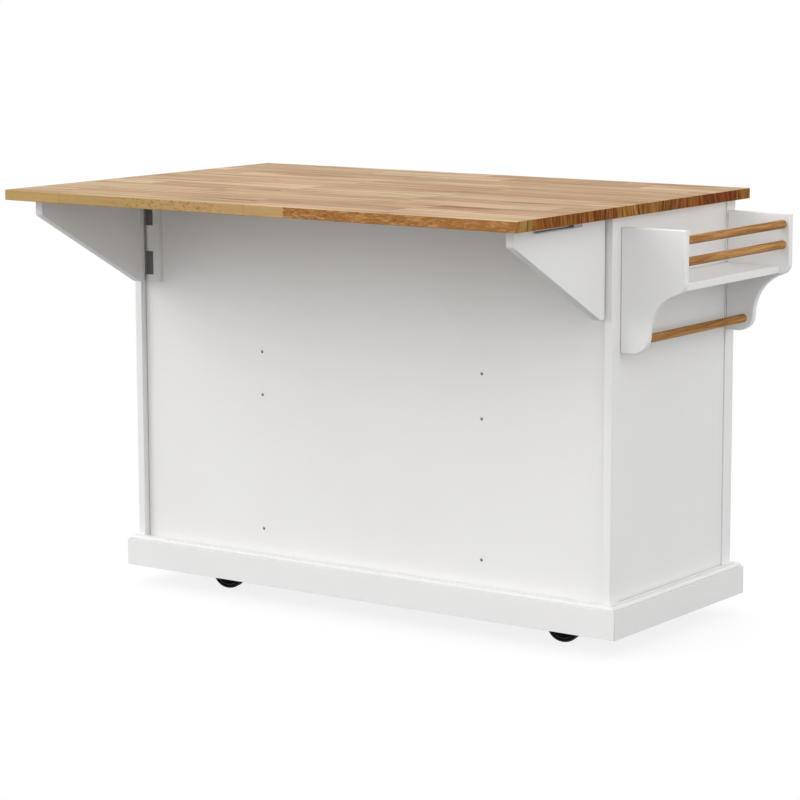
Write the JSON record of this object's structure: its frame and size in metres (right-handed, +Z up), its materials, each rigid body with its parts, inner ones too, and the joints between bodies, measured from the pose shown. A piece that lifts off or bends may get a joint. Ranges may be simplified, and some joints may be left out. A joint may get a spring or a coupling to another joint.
{
  "type": "drop leaf kitchen island",
  "caption": "Rolling kitchen island with a drop-leaf butcher-block top on swing brackets, cupboards, drawers, and an end spice rack with towel bar.",
  "frame": {"origin": "middle of the whole island's footprint, leaf up, on the floor", "axes": "+X along the worktop, away from the spice rack; +Y towards the drop leaf at the back, doors at -Y; +Z up"},
  "size_m": [1.423, 0.915, 0.924],
  "materials": {
    "white_paint": "satin white paint over wood board",
    "butcher_block": "oiled butcher block of finger-jointed staves",
    "rail_wood": "satin varnished hardwood dowel",
    "drawer_wood": "plain sanded softwood",
    "steel": "zinc-plated pressed steel",
    "dark_steel": "dark coated steel bar",
    "black_wheel": "moulded black tread",
    "black_plastic": "moulded black pedal",
    "white_plastic": "moulded white catch body"
  },
  "bodies": {
    "cabinet": {"back_panel": "white_paint", "back_rails": "white_paint", "back_sill": "white_paint", "bottom_panel": "white_paint", "bracket_battens": "white_paint", "bracket_hinge_plates": "steel", "caster_plates": "steel", "corner_posts": "white_paint", "door_catches": "white_plastic", "door_hinge_plates": "steel", "drawer_channels": "steel", "drawer_spacers": "drawer_wood", "face_frame": "white_paint", "leaf_hinge_plates": "steel", "partitions": "white_paint", "plinth_back": "white_paint", "plinth_front": "white_paint", "plinth_left": "white_paint", "plinth_right": "white_paint", "rack_panels": "white_paint", "rack_rails": "rail_wood", "rack_shelf": "white_paint", "shelf_cleats": "white_paint", "shelves": "white_paint", "side_panels": "white_paint", "towel_bar": "rail_wood", "wood_screws": "steel", "worktop": "butcher_block"},
    "leaf": {"drop_leaf": "butcher_block", "leaf_hinge_flaps": "steel", "leaf_stops": "dark_steel"},
    "bracket_right": {"bracket_right": "white_paint", "bracket_right_hinges": "steel"},
    "bracket_left": {"bracket_left": "white_paint", "bracket_left_hinges": "steel"},
    "door_left": {"door_left": "white_paint", "door_left_fittings": "steel"},
    "door_centre_left": {"door_centre_left": "white_paint", "door_centre_left_fittings": "steel"},
    "door_centre_right": {"door_centre_right": "white_paint", "door_centre_right_fittings": "steel"},
    "door_right": {"door_right": "white_paint", "door_right_fittings": "steel"},
    "drawer_left": {"drawer_left_front": "white_paint", "drawer_left_box": "drawer_wood", "drawer_left_fittings": "steel"},
    "drawer_right": {"drawer_right_front": "white_paint", "drawer_right_box": "drawer_wood", "drawer_right_fittings": "steel"},
    "caster_back_left": {"caster_fork_back_left": "steel"},
    "wheel_back_left": {"caster_wheel_back_left": "black_wheel"},
    "caster_back_right": {"caster_fork_back_right": "steel"},
    "wheel_back_right": {"caster_wheel_back_right": "black_wheel"},
    "caster_front_left": {"caster_fork_front_left": "steel"},
    "wheel_front_left": {"caster_wheel_front_left": "black_wheel"},
    "brake_front_left": {"caster_brake_front_left": "black_plastic"},
    "caster_front_right": {"caster_fork_front_right": "steel"},
    "wheel_front_right": {"caster_wheel_front_right": "black_wheel"},
    "brake_front_right": {"caster_brake_front_right": "black_plastic"}
  },
  "joints": [
    {"name": "leaf_lift", "type": "hinge", "parent": "cabinet", "child": "leaf", "pos_m": [0.0615, 0.09275, 0.8987], "axis": [1, 0, 0], "range_deg": [0, 3]},
    {"name": "bracket_right_fold", "type": "hinge", "parent": "cabinet", "child": "bracket_right", "pos_m": [0.6518, 0.0712, 0.7985], "axis": [0, 0, 1], "range_deg": [0, 90]},
    {"name": "bracket_left_fold", "type": "hinge", "parent": "cabinet", "child": "bracket_left", "pos_m": [-0.5288, 0.0712, 0.7985], "axis": [0, 0, -1], "range_deg": [0, 90]},
    {"name": "door_left_swing", "type": "hinge", "parent": "cabinet", "child": "door_left", "pos_m": [-0.51925, -0.4358, 0.4335], "axis": [0, 0, -1], "range_deg": [0, 95]},
    {"name": "door_centre_left_swing", "type": "hinge", "parent": "cabinet", "child": "door_centre_left", "pos_m": [-0.22425, -0.4358, 0.5035], "axis": [0, 0, -1], "range_deg": [0, 95]},
    {"name": "door_centre_right_swing", "type": "hinge", "parent": "cabinet", "child": "door_centre_right", "pos_m": [0.32125, -0.4358, 0.5035], "axis": [0, 0, 1], "range_deg": [0, 95]},
    {"name": "door_right_swing", "type": "hinge", "parent": "cabinet", "child": "door_right", "pos_m": [0.64225, -0.4358, 0.4335], "axis": [0, 0, 1], "range_deg": [0, 95]},
    {"name": "drawer_left_slide", "type": "slide", "parent": "cabinet", "child": "drawer_left", "axis": [0, -1, 0], "range_m": [0, 0.28]},
    {"name": "drawer_right_slide", "type": "slide", "parent": "cabinet", "child": "drawer_right", "axis": [0, -1, 0], "range_m": [0, 0.28]},
    {"name": "caster_back_left_swivel", "type": "hinge", "parent": "cabinet", "child": "caster_back_left", "pos_m": [-0.3855, -0.0035, 0.1], "axis": [0, 0, 1], "continuous": true},
    {"name": "wheel_back_left_roll", "type": "hinge", "parent": "caster_back_left", "child": "wheel_back_left", "pos_m": [-0.40879, -0.00931, 0.0375], "axis": [0.2419, -0.9703, 0], "continuous": true},
    {"name": "caster_back_right_swivel", "type": "hinge", "parent": "cabinet", "child": "caster_back_right", "pos_m": [0.5085, -0.0035, 0.1], "axis": [0, 0, 1], "continuous": true},
    {"name": "wheel_back_right_roll", "type": "hinge", "parent": "caster_back_right", "child": "wheel_back_right", "pos_m": [0.48521, -0.00931, 0.0375], "axis": [0.2419, -0.9703, 0], "continuous": true},
    {"name": "caster_front_left_swivel", "type": "hinge", "parent": "cabinet", "child": "caster_front_left", "pos_m": [-0.3855, -0.3595, 0.1], "axis": [0, 0, 1], "continuous": true},
    {"name": "wheel_front_left_roll", "type": "hinge", "parent": "caster_front_left", "child": "wheel_front_left", "pos_m": [-0.40879, -0.36531, 0.0375], "axis": [0.2419, -0.9703, 0], "continuous": true},
    {"name": "brake_front_left_press", "type": "hinge", "parent": "caster_front_left", "child": "brake_front_left", "pos_m": [-0.40685, -0.36482, 0.08], "axis": [0.2419, -0.9703, 0], "range_deg": [0, 12]},
    {"name": "caster_front_right_swivel", "type": "hinge", "parent": "cabinet", "child": "caster_front_right", "pos_m": [0.5085, -0.3595, 0.1], "axis": [0, 0, 1], "continuous": true},
    {"name": "wheel_front_right_roll", "type": "hinge", "parent": "caster_front_right", "child": "wheel_front_right", "pos_m": [0.48521, -0.36531, 0.0375], "axis": [0.2419, -0.9703, 0], "continuous": true},
    {"name": "brake_front_right_press", "type": "hinge", "parent": "caster_front_right", "child": "brake_front_right", "pos_m": [0.48715, -0.36482, 0.08], "axis": [0.2419, -0.9703, 0], "range_deg": [0, 12]}
  ]
}
